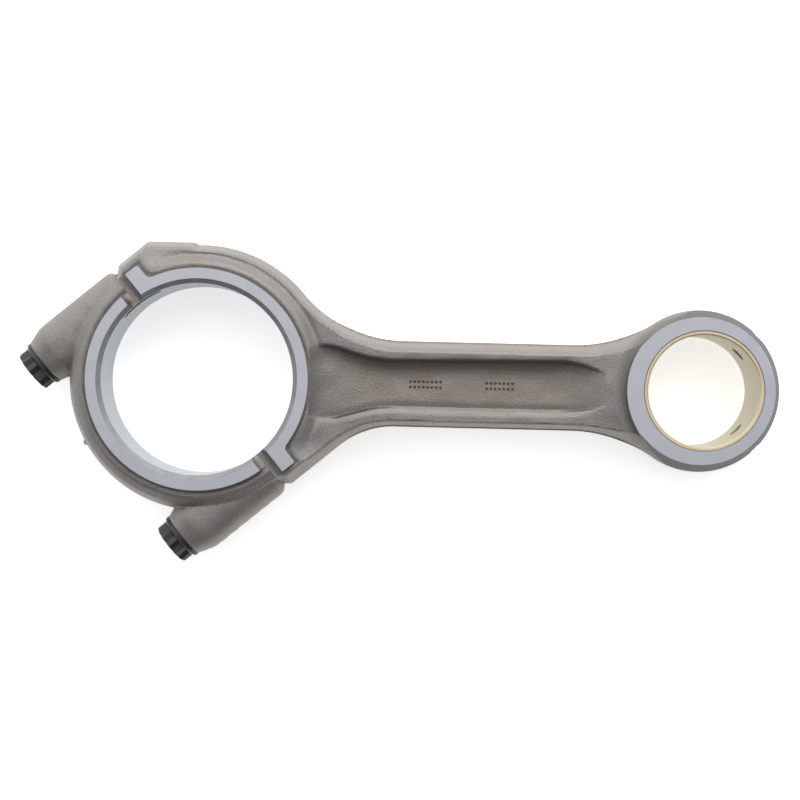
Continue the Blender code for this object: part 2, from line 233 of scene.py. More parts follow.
def depth_inside(x, y, outline):
    """Signed distance to a closed outline, positive inside."""
    a, b = outline, np.roll(outline, -1, axis=0)
    side = b - a
    length = np.maximum((side ** 2).sum(1), 1e-12)
    flat_x, flat_y = x.ravel(), y.ravel()
    result = np.empty(flat_x.size)
    for start in range(0, flat_x.size, 8192):
        px = flat_x[start:start + 8192, None]
        py = flat_y[start:start + 8192, None]
        dx, dy = px - a[:, 0], py - a[:, 1]
        t = np.clip((dx * side[:, 0] + dy * side[:, 1]) / length, 0.0, 1.0)
        near = np.sqrt(((dx - t * side[:, 0]) ** 2 + (dy - t * side[:, 1]) ** 2).min(1))
        spans = (a[:, 1] > py) != (b[:, 1] > py)
        rise = np.where(np.abs(side[:, 1]) < 1e-12, 1e-12, side[:, 1])
        hits = spans & (dx < dy * side[:, 0] / rise)
        result[start:start + 8192] = np.where(hits.sum(1) % 2 == 1, near, -near)
    return result.reshape(x.shape)


def tabulated(function, low, high, step):
    """Sample a slow function of x and y once, and return a smooth stand-in that reads the samples."""
    xs = np.arange(low[0], high[0], step)
    ys = np.arange(low[1], high[1], step)
    table = function(*np.meshgrid(xs, ys, indexing='ij'))

    def weights(t):
        return (((-0.5 * t + 1.0) * t - 0.5) * t, (1.5 * t - 2.5) * t * t + 1.0,
                ((-1.5 * t + 2.0) * t + 0.5) * t, (0.5 * t - 0.5) * t * t)

    def look_up(x, y):
        along = np.clip((x - low[0]) / step, 1.0, table.shape[0] - 3.001)
        across = np.clip((y - low[1]) / step, 1.0, table.shape[1] - 3.001)
        i, j = along.astype(int), across.astype(int)
        total = 0.0
        for a, part in enumerate(weights(along - i)):
            for b, share in enumerate(weights(across - j)):
                total = total + part * share * table[i + a - 1, j + b - 1]
        return total
    return look_up


def unevenness(x, y, seed, amount):
    """Slow waves of a hammered surface, the same on every run."""
    rng = np.random.default_rng(seed)
    total = np.zeros_like(x)
    for _ in range(14):
        angle, phase = rng.uniform(0, 2 * math.pi, 2)
        wave = rng.uniform(9.0, 34.0)
        total += np.sin((x * math.cos(angle) + y * math.sin(angle)) * 2 * math.pi / wave + phase)
    return total * amount / 3.0


def rod_land(x, y):
    """Top of the forging before the pocket is sunk: shoulder round the ground faces, land, and eye."""
    u, v = to_joint(x, y)
    ear = np.maximum(np.maximum(np.abs(u) - EAR_U, v - EAR_V), 3.0 - v)
    beside = soft_min(np.hypot(x, y) - FACE_R, ear, 5.0)
    # plain beside the joint, with a groove under the shoulder where the shank begins
    grooved = eased(beside, ((-0.4, 3.1), (0.5, 3.2), (1.6, 3.8), (3.2, 3.2), (5.6, 0.6), (7.2, -0.7),
                             (8.6, -0.3), (9.6, 0.0)), 0.6)
    plain = eased(beside, ((-0.4, 3.1), (0.5, 3.2), (1.6, 3.8), (4.0, 3.3), (8.0, 1.5), (13.0, 0.0),
                           (14.0, 0.0)), 0.6)
    land = LAND + plain + (grooved - plain) * np.clip((v - 22.0) / 16.0, 0.0, 1.0)
    eye = eased(np.hypot(x - CENTRE_DISTANCE, y),
                ((39.6, 25.0), (40.8, 20.0), (46.0, 17.8), (55.0, 15.4), (62.0, 12.0)), 0.5)
    return soft_max(land, eye, 2.0)


def web_level(x):
    """Bottom of the pocket along the shank, run out upwards at both ends."""
    return eased(x, ((50.0, 30.0), (55.0, 20.5), (59.0, 15.5), (64.0, 12.0), (72.0, 9.4), (82.0, 7.4),
                     (93.0, WEB), (182.0, WEB), (192.0, 8.2), (199.0, 12.0), (206.0, 16.5), (212.0, 19.5),
                     (218.0, 26.0)), 3.0)


def flange_share(x, y):
    """How much of the flange stands over the web: 0 in the pocket, 1 on the flanges."""
    upper = eased(x, ((55.0, 17.4), (62.0, 18.6), (69.0, 18.2), (77.0, 15.4), (86.0, 12.9), (96.0, 11.6),
                      (140.0, 12.3), (188.0, 13.1), (197.0, 11.0), (207.0, 7.6), (214.0, 6.0)), 3.0)
    lower = eased(x, ((55.0, 17.4), (62.0, 18.6), (69.0, 18.6), (78.0, 16.1), (88.0, 13.2), (98.0, 12.3),
                      (140.0, 12.7), (188.0, 12.4), (197.0, 11.6), (207.0, 9.0), (214.0, 7.0)), 3.0)
    over, under = y - upper, -y - lower
    # the upper wall runs out in a long hollow, and the lower one stands on a slight dip
    above = eased(over, ((-9.0, 0.0), (-6.5, 0.02), (-4.5, 0.065), (-2.8, 0.15), (-1.5, 0.25),
                         (-0.6, 0.36), (0.2, 0.82), (0.9, 0.96), (2.0, 0.99), (4.2, 1.0)), 0.3)
    below = eased(under, ((-5.0, 0.0), (-3.8, -0.008), (-2.8, -0.03), (-1.8, -0.06), (-0.7, -0.09),
                          (0.0, 0.80), (0.8, 0.93), (2.8, 1.0)), 0.3)
    return np.where(over > under, above, below)


def rod_flank(x, y, depth):
    """Height of the side that climbs inwards from the parting line."""
    steep = eased(x, ((70.0, FLANK_RISE), (95.0, LOW_FLANK_RISE), (205.0, LOW_FLANK_RISE),
                      (225.0, FLANK_RISE)), 3.0)
    rise = np.where(y > 0, FLANK_RISE, steep)
    # the eye's side leans from the ground face's edge down to the parting line
    outside = np.hypot(x - CENTRE_DISTANCE - EYE_FACE_X, y) - EYE_FACE_R
    lean = np.where(outside > 0, HALF * depth / np.maximum(depth + outside, 1e-3), HALF - 4.0 * outside)
    eye_share = np.clip((9.0 - depth) / 3.0, 0.0, 1.0) * np.clip((x - 214.0) / 14.0, 0.0, 1.0)
    return depth * rise + (lean - depth * rise) * eye_share


def edge_rounding(x, y):
    """Rounding between flank and top: broad along the shank, tight round the eye."""
    broad = np.where(y > 0, 9.0, 7.0)
    shank_share = eased(x, ((70.0, 0.0), (95.0, 1.0), (210.0, 1.0), (226.0, 0.0)), 3.0)
    eye_share = np.clip((x - 226.0) / 10.0, 0.0, 1.0)
    return shank_share * (broad - 4.4) + 4.4 - 3.4 * eye_share


def rod_height(outline, wave):
    """Height of the rod's forging over the parting plane, as a function of x and y."""
    depth_at = tabulated(lambda x, y: depth_inside(x, y, outline), (-90.0, -90.0), (306.0, 84.0), 0.7)

    def height(x, y):
        land, web = rod_land(x, y), web_level(x)
        raised = np.maximum(land - web, 0.0) * flange_share(x, y)
        top = np.minimum(web, land) + raised + unevenness(x, y, 11, wave)
        return soft_min(rod_flank(x, y, depth_at(x, y)), top, edge_rounding(x, y))
    return height


def cap_height(wave):
    """Height of the cap's forging: half a ring, two bolt bosses and a small nub."""
    def height(x, y):
        r = np.hypot(x, y)
        u, v = to_joint(x, y)
        ring_top = eased(r - FACE_R, ((-8.0, 18.0), (0.4, 18.0), (2.6, 19.0), (4.6, 18.2), (7.2, 15.6),
                                      (8.4, 15.7), (11.0, 12.6), (13.0, 11.0)), 0.8)
        ring = soft_min((67.6 - r) * 4.6, ring_top, 6.0)
        radius = eased(v, ((-62.0, 8.0), (SEAT_V, 12.2), (-48.5, 14.7), (-45.0, 15.0), (-3.4, 15.0),
                           (-2.2, 14.6), (0.2, 11.8), (4.0, 11.8)), 0.8)
        across = np.abs(np.abs(u) - BOLT_U) / radius
        crown = np.clip(1.0 - across ** 2.4, 0.0, 1.0) ** (1 / 2.4) * radius * 1.06
        boss = np.where(across < 1.0, crown, (1.0 - across) * 30.0)
        boss = np.minimum(boss, np.minimum(v + 62.0, 8.0 - v) * 5.0)
        nub_x, nub_y = -58.2, -33.6
        nub = 2.6 - 1.6 * np.hypot(x - nub_x, y - nub_y)
        top = soft_max(soft_max(ring, boss, 2.4), nub, 1.0)
        return top + unevenness(x, y, 23, wave)
    return height


# ---------------------------------------------------------------- surfaces from heights
def draw_surface(height, low, high, step):
    """Closed quad surface of |z| < height(x, y), drawn cell by cell, then pulled onto the shape."""
    xs = np.arange(low[0], high[0], step)
    ys = np.arange(low[1], high[1], step)
    levels = int(math.ceil(HALF * 1.2 / step))
    zs = (np.arange(-levels, levels) + 0.5) * step
    field = np.abs(zs)[None, None, :] - height(*np.meshgrid(xs, ys, indexing='ij'))[:, :, None]
    shape = np.array(field.shape) - 1
    total, count = np.zeros((*shape, 3)), np.zeros(shape)
    crossings = []
    for axis in range(3):
        size = field.shape[axis]
        a = np.take(field, range(size - 1), axis)
        b = np.take(field, range(1, size), axis)
        cross = (a < 0) != (b < 0)
        share = np.where(cross, a / np.where(cross, a - b, 1.0), 0.0)
        crossings.append((cross, a < 0))
        others = [k for k in range(3) if k != axis]
        for first in (0, 1):
            for second in (0, 1):
                cut = [slice(None)] * 3
                cut[others[0]] = slice(first, first + shape[others[0]])
                cut[others[1]] = slice(second, second + shape[others[1]])
                index = np.nonzero(cross[tuple(cut)])
                place = np.stack(index, 1).astype(float)
                place[:, axis] += share[tuple(cut)][index]
                place[:, others[0]] += first
                place[:, others[1]] += second
                total[index] += place
                count[index] += 1
    used = count > 0
    number = np.full(shape, -1)
    number[used] = np.arange(used.sum())
    points = total[used] / count[used][:, None] * step + np.array([xs[0], ys[0], zs[0]])
    faces = []
    for axis in range(3):
        cross, inside = crossings[axis]
        i, j, k = np.nonzero(cross)
        grid = np.stack((i, j, k), 1)
        first, second = (axis + 1) % 3, (axis + 2) % 3
        keep = (grid[:, first] > 0) & (grid[:, second] > 0)
        keep &= (grid[:, first] < shape[first]) & (grid[:, second] < shape[second])
        grid = grid[keep]
        outward = inside[tuple(grid.T)]
        corners = []
        for back_first, back_second in ((1, 1), (0, 1), (0, 0), (1, 0)):
            cell = grid.copy()
            cell[:, first] -= back_first
            cell[:, second] -= back_second
            corners.append(number[tuple(cell.T)])
        quad = np.stack(corners, 1)
        quad[~outward] = quad[~outward][:, ::-1]
        faces.append(quad)
    return settle(points, height, step), np.concatenate(faces)


def slope(height, x, y, reach=0.12):
    """Height and its two slopes."""
    return (height(x, y), (height(x + reach, y) - height(x - reach, y)) / (2 * reach),
            (height(x, y + reach) - height(x, y - reach)) / (2 * reach))


def settle(points, height, step):
    """Move every point onto the shape; the parting line's points keep to the mid plane."""
    points = points.copy()
    parting = np.abs(points[:, 2]) < step * 0.3
    points[parting, 2] = 0.0
    for _ in range(2):
        value, rise_x, rise_y = slope(height, points[:, 0], points[:, 1])
        off = np.abs(points[:, 2]) - value
        steep = rise_x ** 2 + rise_y ** 2
        whole = np.where(parting, np.maximum(steep, 0.5), steep + 1.0)
        move = np.stack((rise_x, rise_y, -np.sign(points[:, 2])), 1) * (off / whole)[:, None]
        move[parting, 2] = 0.0
        length = np.linalg.norm(move, axis=1)
        move *= np.minimum(1.0, step * 0.5 / np.maximum(length, 1e-9))[:, None]
        points += move
    return points


# ---------------------------------------------------------------- meshes and cutters
def new_object(name, points, faces):
    """Object from rod-frame millimetre points."""
    mesh = bpy.data.meshes.new(name)
    placed = np.asarray(points, float) * MM + np.array(ORIGIN)
    mesh.from_pydata(placed.tolist(), [], [tuple(f) for f in faces])
    mesh.validate()
    obj = bpy.data.objects.new(name, mesh)
    bpy.context.scene.collection.objects.link(obj)
    return obj


def face_outwards(obj):
    work = bmesh.new()
    work.from_mesh(obj.data)
    bmesh.ops.recalc_face_normals(work, faces=work.faces)
    work.to_mesh(obj.data)
    work.free()
    return obj


def stack(name, rings):
    """Close a stack of equally long rings of rod-frame points."""
    count = len(rings[0])
    points = [tuple(p) for ring in rings for p in ring]
    faces = [tuple(range(count))[::-1]]
    for k in range(len(rings) - 1):
        for i in range(count):
            j = (i + 1) % count
            faces.append((k * count + i, k * count + j, (k + 1) * count + j, (k + 1) * count + i))
    faces.append(tuple(range((len(rings) - 1) * count, len(rings) * count)))
    return face_outwards(new_object(name, points, faces))


def turned(name, profile, centre, segments=256):
    """Solid turned about a line along z from (radius, z) pairs."""
    angles = np.linspace(0, 2 * math.pi, segments, endpoint=False)
    return stack(name, [[(centre[0] + r * math.cos(t), centre[1] + r * math.sin(t), z) for t in angles]
                        for r, z in profile])


def ring_solid(name, profile, centre, segments=256):
    """Ring turned from a closed (radius, z) profile."""
    points, faces = [], []
    count = len(profile)
    for i in range(segments):
        t = 2 * math.pi * i / segments
        after = (i + 1) % segments
        for k, (r, z) in enumerate(profile):
            points.append((centre[0] + r * math.cos(t), centre[1] + r * math.sin(t), z))
            n = (k + 1) % count
            faces.append((i * count + k, after * count + k, after * count + n, i * count + n))
    return face_outwards(new_object(name, points, faces))


def rod_of_rings(name, start, axis, stations, segments=64):
    """Turned solid about any line, from (distance along it, radius) pairs."""
    axis = Vector(axis).normalized()
    side = Vector((0, 0, 1)) if abs(axis.z) < 0.9 else Vector((1, 0, 0))
    first = axis.cross(side).normalized()
    second = axis.cross(first)
    start = Vector(start)
    rings = []
    for along, radius in stations:
        rings.append([start + axis * along + (first * math.cos(t) + second * math.sin(t)) * radius
                      for t in (2 * math.pi * i / segments for i in range(segments))])
    return stack(name, rings)


def plate(name, outline, low, high):
    return stack(name, [[(x, y, z) for x, y in outline] for z in (low, high)])


def joint_box(name, u, v, z):
    """Box from its ranges in the joint's frame."""
    corners = ((u[0], v[0]), (u[1], v[0]), (u[1], v[1]), (u[0], v[1]))
    return plate(name, [joint_xy(a, b) for a, b in corners], *z)


def trim_plate(side, low, high):
    """Plate that takes the forging down to its ground width on one side."""
    corners = (low, (high[0], low[1]), high, (low[0], high[1]))
    return plate("trim", corners, *sorted((side * HALF, side * 40.0)))


def oil_drill(side, reach, radius, segments):
    """Drill for one of the two oil holes of the small end."""
    angle = math.radians(OIL_ANGLE) * side
    way = (math.cos(angle), math.sin(angle), 0)
    stations = [(distance, radius) for distance in reach]
    return rod_of_rings("oil", (CENTRE_DISTANCE, 0, 0), way, stations, segments)


def combine(obj, other, operation):
    """Boolean with the fast solid solver; falls back to the exact one if a surface isn't closed."""
    count = len(obj.data.polygons)
    for solver in ('MANIFOLD', 'EXACT'):
        step = obj.modifiers.new('step', 'BOOLEAN')
        step.operation, step.solver, step.object = operation, solver, other
        graph = bpy.context.evaluated_depsgraph_get()
        graph.update()
        mesh = bpy.data.meshes.new_from_object(obj.evaluated_get(graph))
        obj.modifiers.remove(step)
        if len(mesh.polygons) and (solver == 'EXACT' or len(mesh.polygons) != count):
            break
    old = obj.data
    obj.data = mesh
    bpy.data.meshes.remove(old)
    bpy.data.objects.remove(other)
    return obj


def machine(obj, added, removed):
    for other in added:
        combine(obj, other, 'UNION')
    for other in removed:
        combine(obj, other, 'DIFFERENCE')
    return obj


def strip(name, path, inner, outer, thick):
    """Thin band along an open path in the mid plane, thinner outside and fading at both ends.

    The path has its outside on the right.
    """
    path = np.asarray(path)
    along = np.gradient(path, axis=0)
    along /= np.linalg.norm(along, axis=1)[:, None]
    out = np.stack((along[:, 1], -along[:, 0]), 1)
    rings = []
    for k, (point, way) in enumerate(zip(path, out)):
        share = min(1.0, k / 5, (len(path) - 1 - k) / 5)
        a = point - way * inner
        b = point + way * (outer * share - 0.1 * (1.0 - share))
        rings.append([(*a, -thick / 2), (*b, -thick / 3), (*b, thick / 3), (*a, thick / 2)])
    return stack(name, rings)


def ground_plan():
    """Outline of the rod's ground face around the big end: ring and two filleted ears."""
    fillet, corner = 3.0, 1.4
    start = math.degrees(math.asin((EAR_V + fillet) / (FACE_R + fillet)))
    centre_u = math.cos(math.radians(start)) * (FACE_R + fillet)
    half = [(-20.0, -8.0), (EAR_U, -8.0), (EAR_U, EAR_V - corner)]
    half += list(arc((EAR_U - corner, EAR_V - corner), corner, 0.0, 90.0, 6))
    half += list(arc((centre_u, EAR_V + fillet), fillet, 270.0, 180.0 + start, 8))
    half += list(arc((0.0, 0.0), FACE_R, start, 90.0, 56))
    outline = half[1:] + [(-u, v) for u, v in reversed(half[1:-1])]
    return [joint_xy(u, v) for u, v in outline]


def shared_cutters(sizes):
    """Cuts that went through rod and cap together."""
    bore, chamfer = sizes.big_bore / MM, sizes.big_chamfer / MM
    edge = HALF - chamfer
    cutters = [turned("bore", ((bore + 8 + chamfer, -HALF - 8), (bore, -edge), (bore, edge),
                               (bore + 8 + chamfer, HALF + 8)), (0, 0), 320)]
    level = HALF - RELIEF_DEPTH + RELIEF_R
    for side in (1, -1):
        start = (*joint_xy(-90, RELIEF_V), side * level)
        cutters.append(rod_of_rings("relief", start, (*U_DIR, 0), ((0, RELIEF_R), (180, RELIEF_R)), 48))
    # notch for a bearing shell's tang: half its length and its depth give the cutter's radius
    reach, sink = 8.7, 1.7
    radius = (reach ** 2 + sink ** 2) / (2 * sink)
    centre = joint_xy(-(bore + sink - radius), 1.1)
    cutters.append(turned("tang", ((radius, 11.5), (radius, 18.0)), centre, 160))
    return cutters


# ---------------------------------------------------------------- finishes
def srgb(code):
    """Hex colour to linear RGBA."""
    parts = [int(code[i:i + 2], 16) / 255 for i in (1, 3, 5)]
    return (*[p / 12.92 if p <= 0.04045 else ((p + 0.055) / 1.055) ** 2.4 for p in parts], 1.0)


def add_node(tree, kind, inputs=None, **settings):
    """Add a node with its settings; inputs maps socket names or numbers to values or output sockets."""
    node = tree.nodes.new(kind)
    for key, value in settings.items():
        setattr(node, key, value)
    for key, value in (inputs or {}).items():
        if isinstance(value, bpy.types.NodeSocket):
            tree.links.new(value, node.inputs[key])
        else:
            node.inputs[key].default_value = value
    return node


def start_material(name, metallic, roughness):
    """New material with its tree, its shader and coordinates that start at the big end's centre."""
    material = bpy.data.materials.new(name)
    material.use_nodes = True
    tree = material.node_tree
    shader = tree.nodes['Principled BSDF']
    shader.inputs['Metallic'].default_value = metallic
    shader.inputs['Roughness'].default_value = roughness
    place = add_node(tree, 'ShaderNodeTexCoord').outputs['Object']
    centred = add_node(tree, 'ShaderNodeMapping', {'Vector': place, 'Location': tuple(-c for c in ORIGIN)})
    return material, tree, shader, centred.outputs['Vector']


def per(size):
    """Pattern scale for features of a size in millimetres."""
    return 1.0 / (size * MM)


def forged_steel(colours):
    """Medium-carbon steel, hammer forged and shot blasted: matt, finely dimpled, uneven brownish grey."""
    material, tree, shader, place = start_material("shot_blasted_forged_steel", 0.75, 0.55)
    # shot marks, drawn a little coarser than real so that they show
    dimples = add_node(tree, 'ShaderNodeTexNoise', {'Vector': place, 'Scale': per(1.1), 'Detail': 2.0})
    grit = add_node(tree, 'ShaderNodeTexNoise', {'Vector': place, 'Scale': per(0.5), 'Detail': 1.0})
    patches = add_node(tree, 'ShaderNodeTexNoise', {'Vector': place, 'Scale': per(16.0), 'Detail': 3.0})
    worn = add_node(tree, 'ShaderNodeMapRange',
                    {'Value': patches.outputs['Fac'], 'From Min': 0.45, 'From Max': 0.8})
    # painted light: the deeper a place lies below the flanges, the more it takes the pocket tone, which sets
    # the web's brightness against the flanges; the random worn patches share this mask
    parts = add_node(tree, 'ShaderNodeSeparateXYZ', {'Vector': place})
    height = add_node(tree, 'ShaderNodeMath', {0: parts.outputs['Z']}, operation='ABSOLUTE')
    hollow = add_node(tree, 'ShaderNodeMapRange', {'Value': height.outputs[0], 'From Min': LAND * MM,
                                                   'From Max': WEB * MM})
    scale = add_node(tree, 'ShaderNodeMath', {0: hollow.outputs[0], 1: worn.outputs[0]}, operation='MAXIMUM')
    tone = add_node(tree, 'ShaderNodeMix', {0: scale.outputs[0], 6: srgb(colours.forging),
                                            7: srgb(colours.forging_painted_depth_tone)}, data_type='RGBA')
    bright = add_node(tree, 'ShaderNodeMapRange', {'Value': dimples.outputs['Fac'], 'From Min': 0.3,
                                                   'From Max': 0.7, 'To Max': 0.42})
    speckled = add_node(tree, 'ShaderNodeMix', {0: bright.outputs[0], 6: tone.outputs[2], 7: srgb("#9a9894")},
                        data_type='RGBA')
    # a breath of rust in the corner where the joint meets the upper side of the bore, darkened to paint that
    # corner's shade as well
    corner = (*joint_xy(-50.9, -2.6), HALF - 2.4)
    away = add_node(tree, 'ShaderNodeVectorMath', {0: place, 1: tuple(c * MM for c in corner)},
                    operation='DISTANCE')
    near = add_node(tree, 'ShaderNodeMapRange', {'Value': away.outputs['Value'], 'From Min': 3.4 * MM,
                                                 'From Max': 0.8 * MM, 'To Max': 0.75})
    rust_and_painted_shade = add_node(tree, 'ShaderNodeMix', {0: near.outputs[0], 6: speckled.outputs[2],
                                              7: srgb(colours.rust)}, data_type='RGBA')
    # painted shade: darker skin in the hollow that the spot-facing tool left beside the eye, where the step's
    # shadow falls
    from_pin = add_node(tree, 'ShaderNodeVectorMath', {0: place, 1: (CENTRE_DISTANCE * MM, 0.0, LAND * MM)},
                        operation='DISTANCE')
    beside = add_node(tree, 'ShaderNodeMapRange', {'Value': from_pin.outputs['Value'], 'From Min': 45.0 * MM,
                                                   'From Max': 39.0 * MM, 'To Max': 0.6})
    eye_hollow_painted_shade = add_node(tree, 'ShaderNodeMix',
                       {0: beside.outputs[0], 6: rust_and_painted_shade.outputs[2], 7: srgb("#2f2b28")}, data_type='RGBA')
    tree.links.new(eye_hollow_painted_shade.outputs[2], shader.inputs['Base Color'])
    matt = add_node(tree, 'ShaderNodeMapRange',
                    {'Value': patches.outputs['Fac'], 'From Min': 0.3, 'From Max': 0.7, 'To Min': 0.5,
                     'To Max': 0.6})
    tree.links.new(matt.outputs[0], shader.inputs['Roughness'])
    surface = add_node(tree, 'ShaderNodeMath', {0: dimples.outputs['Fac'], 1: grit.outputs['Fac']},
                       operation='ADD')
    bump = add_node(tree, 'ShaderNodeBump',
                    {'Height': surface.outputs[0], 'Distance': 0.17 * MM, 'Strength': 1.0})
    tree.links.new(bump.outputs['Normal'], shader.inputs['Normal'])
    return material


def ground_steel(colours):
    """Ground side face: bright, with very fine grinding lines."""
    material, tree, shader, place = start_material("ground_steel", 0.9, 0.38)
    turned_place = add_node(tree, 'ShaderNodeMapping', {'Vector': place, 'Rotation': (0, 0, 0.6),
                                                        'Scale': (1.0, 9.0, 1.0)})
    lines = add_node(tree, 'ShaderNodeTexNoise', {'Vector': turned_place.outputs['Vector'], 'Scale': per(3.0),
                                                  'Detail': 3.0})
    clouds = add_node(tree, 'ShaderNodeTexNoise', {'Vector': place, 'Scale': per(9.0), 'Detail': 4.0})
    share = add_node(tree, 'ShaderNodeMapRange',
                     {'Value': clouds.outputs['Fac'], 'From Min': 0.35, 'From Max': 0.7, 'To Max': 0.4})
    tone = add_node(tree, 'ShaderNodeMix', {0: share.outputs[0], 6: srgb(colours.ground), 7: srgb("#afb0b7")},
                    data_type='RGBA')
    tree.links.new(tone.outputs[2], shader.inputs['Base Color'])
    matt = add_node(tree, 'ShaderNodeMapRange',
                    {'Value': lines.outputs['Fac'], 'From Min': 0.3, 'From Max': 0.7, 'To Min': 0.34,
                     'To Max': 0.42})
    tree.links.new(matt.outputs[0], shader.inputs['Roughness'])
    bump = add_node(tree, 'ShaderNodeBump',
                    {'Height': lines.outputs['Fac'], 'Distance': 0.012 * MM, 'Strength': 0.5})
    tree.links.new(bump.outputs['Normal'], shader.inputs['Normal'])
    return material


def bored_steel(colours):
    """Honed housing bore: fine rings, bluish grey."""
    material, tree, shader, place = start_material("honed_steel", 0.9, 0.34)
    squeezed = add_node(tree, 'ShaderNodeMapping', {'Vector': place, 'Scale': (0.2, 0.2, 3.0)})
    lines = add_node(tree, 'ShaderNodeTexNoise', {'Vector': squeezed.outputs['Vector'], 'Scale': per(2.0)})
    share = add_node(tree, 'ShaderNodeMapRange',
                     {'Value': lines.outputs['Fac'], 'From Min': 0.35, 'From Max': 0.65})
    tone = add_node(tree, 'ShaderNodeMix', {0: share.outputs[0], 6: srgb(colours.bore), 7: srgb("#8f959a")},
                    data_type='RGBA')
    tree.links.new(tone.outputs[2], shader.inputs['Base Color'])
    bump = add_node(tree, 'ShaderNodeBump',
                    {'Height': lines.outputs['Fac'], 'Distance': 0.01 * MM, 'Strength': 0.5})
    tree.links.new(bump.outputs['Normal'], shader.inputs['Normal'])
    return material


def turned_steel(colours):
    """Turned chamfers and steps: mid grey with faint tool marks."""
    material, tree, shader, place = start_material("turned_steel", 0.6, 0.5)
    clouds = add_node(tree, 'ShaderNodeTexNoise', {'Vector': place, 'Scale': per(6.0), 'Detail': 3.0})
    marks = add_node(tree, 'ShaderNodeTexNoise', {'Vector': place, 'Scale': per(0.7), 'Detail': 1.0})
    share = add_node(tree, 'ShaderNodeMapRange',
                     {'Value': clouds.outputs['Fac'], 'From Min': 0.3, 'From Max': 0.7})
    tone = add_node(tree, 'ShaderNodeMix', {0: share.outputs[0], 6: srgb(colours.turned), 7: srgb("#8a8d91")},
                    data_type='RGBA')
    tree.links.new(tone.outputs[2], shader.inputs['Base Color'])
    bump = add_node(tree, 'ShaderNodeBump',
                    {'Height': marks.outputs['Fac'], 'Distance': 0.02 * MM, 'Strength': 0.5})
    tree.links.new(bump.outputs['Normal'], shader.inputs['Normal'])
    return material


def copy_turned_side(colours):
    """Side of the eye, copy turned and left dull: darker, neutral grey."""
    material, tree, shader, place = start_material("copy_turned_steel", 0.2, 0.6)
    marks = add_node(tree, 'ShaderNodeTexNoise', {'Vector': place, 'Scale': per(1.4), 'Detail': 3.0})
    tone = add_node(tree, 'ShaderNodeMix',
                    {0: marks.outputs['Fac'], 6: srgb(colours.side), 7: srgb("#4f5052")}, data_type='RGBA')
    tree.links.new(tone.outputs[2], shader.inputs['Base Color'])
    bump = add_node(tree, 'ShaderNodeBump',
                    {'Height': marks.outputs['Fac'], 'Distance': 0.06 * MM, 'Strength': 0.6})
    tree.links.new(bump.outputs['Normal'], shader.inputs['Normal'])
    return material


def cracked_steel():
    """Fractured joint face: crystalline, bright in places, rough."""
    material, tree, shader, place = start_material("fractured_steel", 0.7, 0.5)
    grains = add_node(tree, 'ShaderNodeTexVoronoi', {'Vector': place, 'Scale': per(0.9)})
    share = add_node(tree, 'ShaderNodeMapRange', {'Value': grains.outputs['Distance'], 'From Min': 0.1,
                                                  'From Max': 0.8})
    tone = add_node(tree, 'ShaderNodeMix', {0: share.outputs[0], 6: srgb("#9b9a9a"), 7: srgb("#6c6a69")},
                    data_type='RGBA')
    tree.links.new(tone.outputs[2], shader.inputs['Base Color'])
    bump = add_node(tree, 'ShaderNodeBump', {'Height': grains.outputs['Distance'], 'Distance': 0.4 * MM})
    tree.links.new(bump.outputs['Normal'], shader.inputs['Normal'])
    return material


def bored_bronze(name, tone_hex, streak_hex):
    """Lead bronze, fine bored: pale gold with faint boring rings."""
    material, tree, shader, place = start_material(name, 0.55, 0.38)
    squeezed = add_node(tree, 'ShaderNodeMapping', {'Vector': place, 'Scale': (0.25, 0.25, 4.0)})
    lines = add_node(tree, 'ShaderNodeTexNoise', {'Vector': squeezed.outputs['Vector'], 'Scale': per(2.4)})
    share = add_node(tree, 'ShaderNodeMapRange',
                     {'Value': lines.outputs['Fac'], 'From Min': 0.3, 'From Max': 0.7, 'To Max': 0.6})
    tone = add_node(tree, 'ShaderNodeMix', {0: share.outputs[0], 6: srgb(tone_hex), 7: srgb(streak_hex)},
                    data_type='RGBA')
    tree.links.new(tone.outputs[2], shader.inputs['Base Color'])
    bump = add_node(tree, 'ShaderNodeBump',
                    {'Height': lines.outputs['Fac'], 'Distance': 0.01 * MM, 'Strength': 0.5})
    tree.links.new(bump.outputs['Normal'], shader.inputs['Normal'])
    return material


def phosphate(colours):
    """High-tensile bolt, black phosphated and oiled."""
    material, tree, shader, place = start_material("black_phosphate", 0.5, 0.40)
    clouds = add_node(tree, 'ShaderNodeTexNoise', {'Vector': place, 'Scale': per(2.2), 'Detail': 4.0})
    grain = add_node(tree, 'ShaderNodeTexNoise', {'Vector': place, 'Scale': per(0.5)})
    share = add_node(tree, 'ShaderNodeMapRange',
                     {'Value': clouds.outputs['Fac'], 'From Min': 0.35, 'From Max': 0.7})
    tone = add_node(tree, 'ShaderNodeMix',
                    {0: share.outputs[0], 6: srgb(colours.phosphate), 7: srgb("#3c3a3d")}, data_type='RGBA')
    tree.links.new(tone.outputs[2], shader.inputs['Base Color'])
    matt = add_node(tree, 'ShaderNodeMapRange',
                    {'Value': clouds.outputs['Fac'], 'From Min': 0.3, 'From Max': 0.7, 'To Min': 0.34,
                     'To Max': 0.48})
    tree.links.new(matt.outputs[0], shader.inputs['Roughness'])
    bump = add_node(tree, 'ShaderNodeBump',
                    {'Height': grain.outputs['Fac'], 'Distance': 0.03 * MM, 'Strength': 0.5})
    tree.links.new(bump.outputs['Normal'], shader.inputs['Normal'])
    return material


def tinted_mark(colours):
    """Punch marks, brown from tempering."""
    material, tree, shader, place = start_material("tempered_punch_mark", 0.4, 0.6)
    clouds = add_node(tree, 'ShaderNodeTexNoise', {'Vector': place, 'Scale': per(1.5)})
    tone = add_node(tree, 'ShaderNodeMix',
                    {0: clouds.outputs['Fac'], 6: srgb(colours.etched), 7: srgb("#5f4b3b")},
                    data_type='RGBA')
    tree.links.new(tone.outputs[2], shader.inputs['Base Color'])
    return material


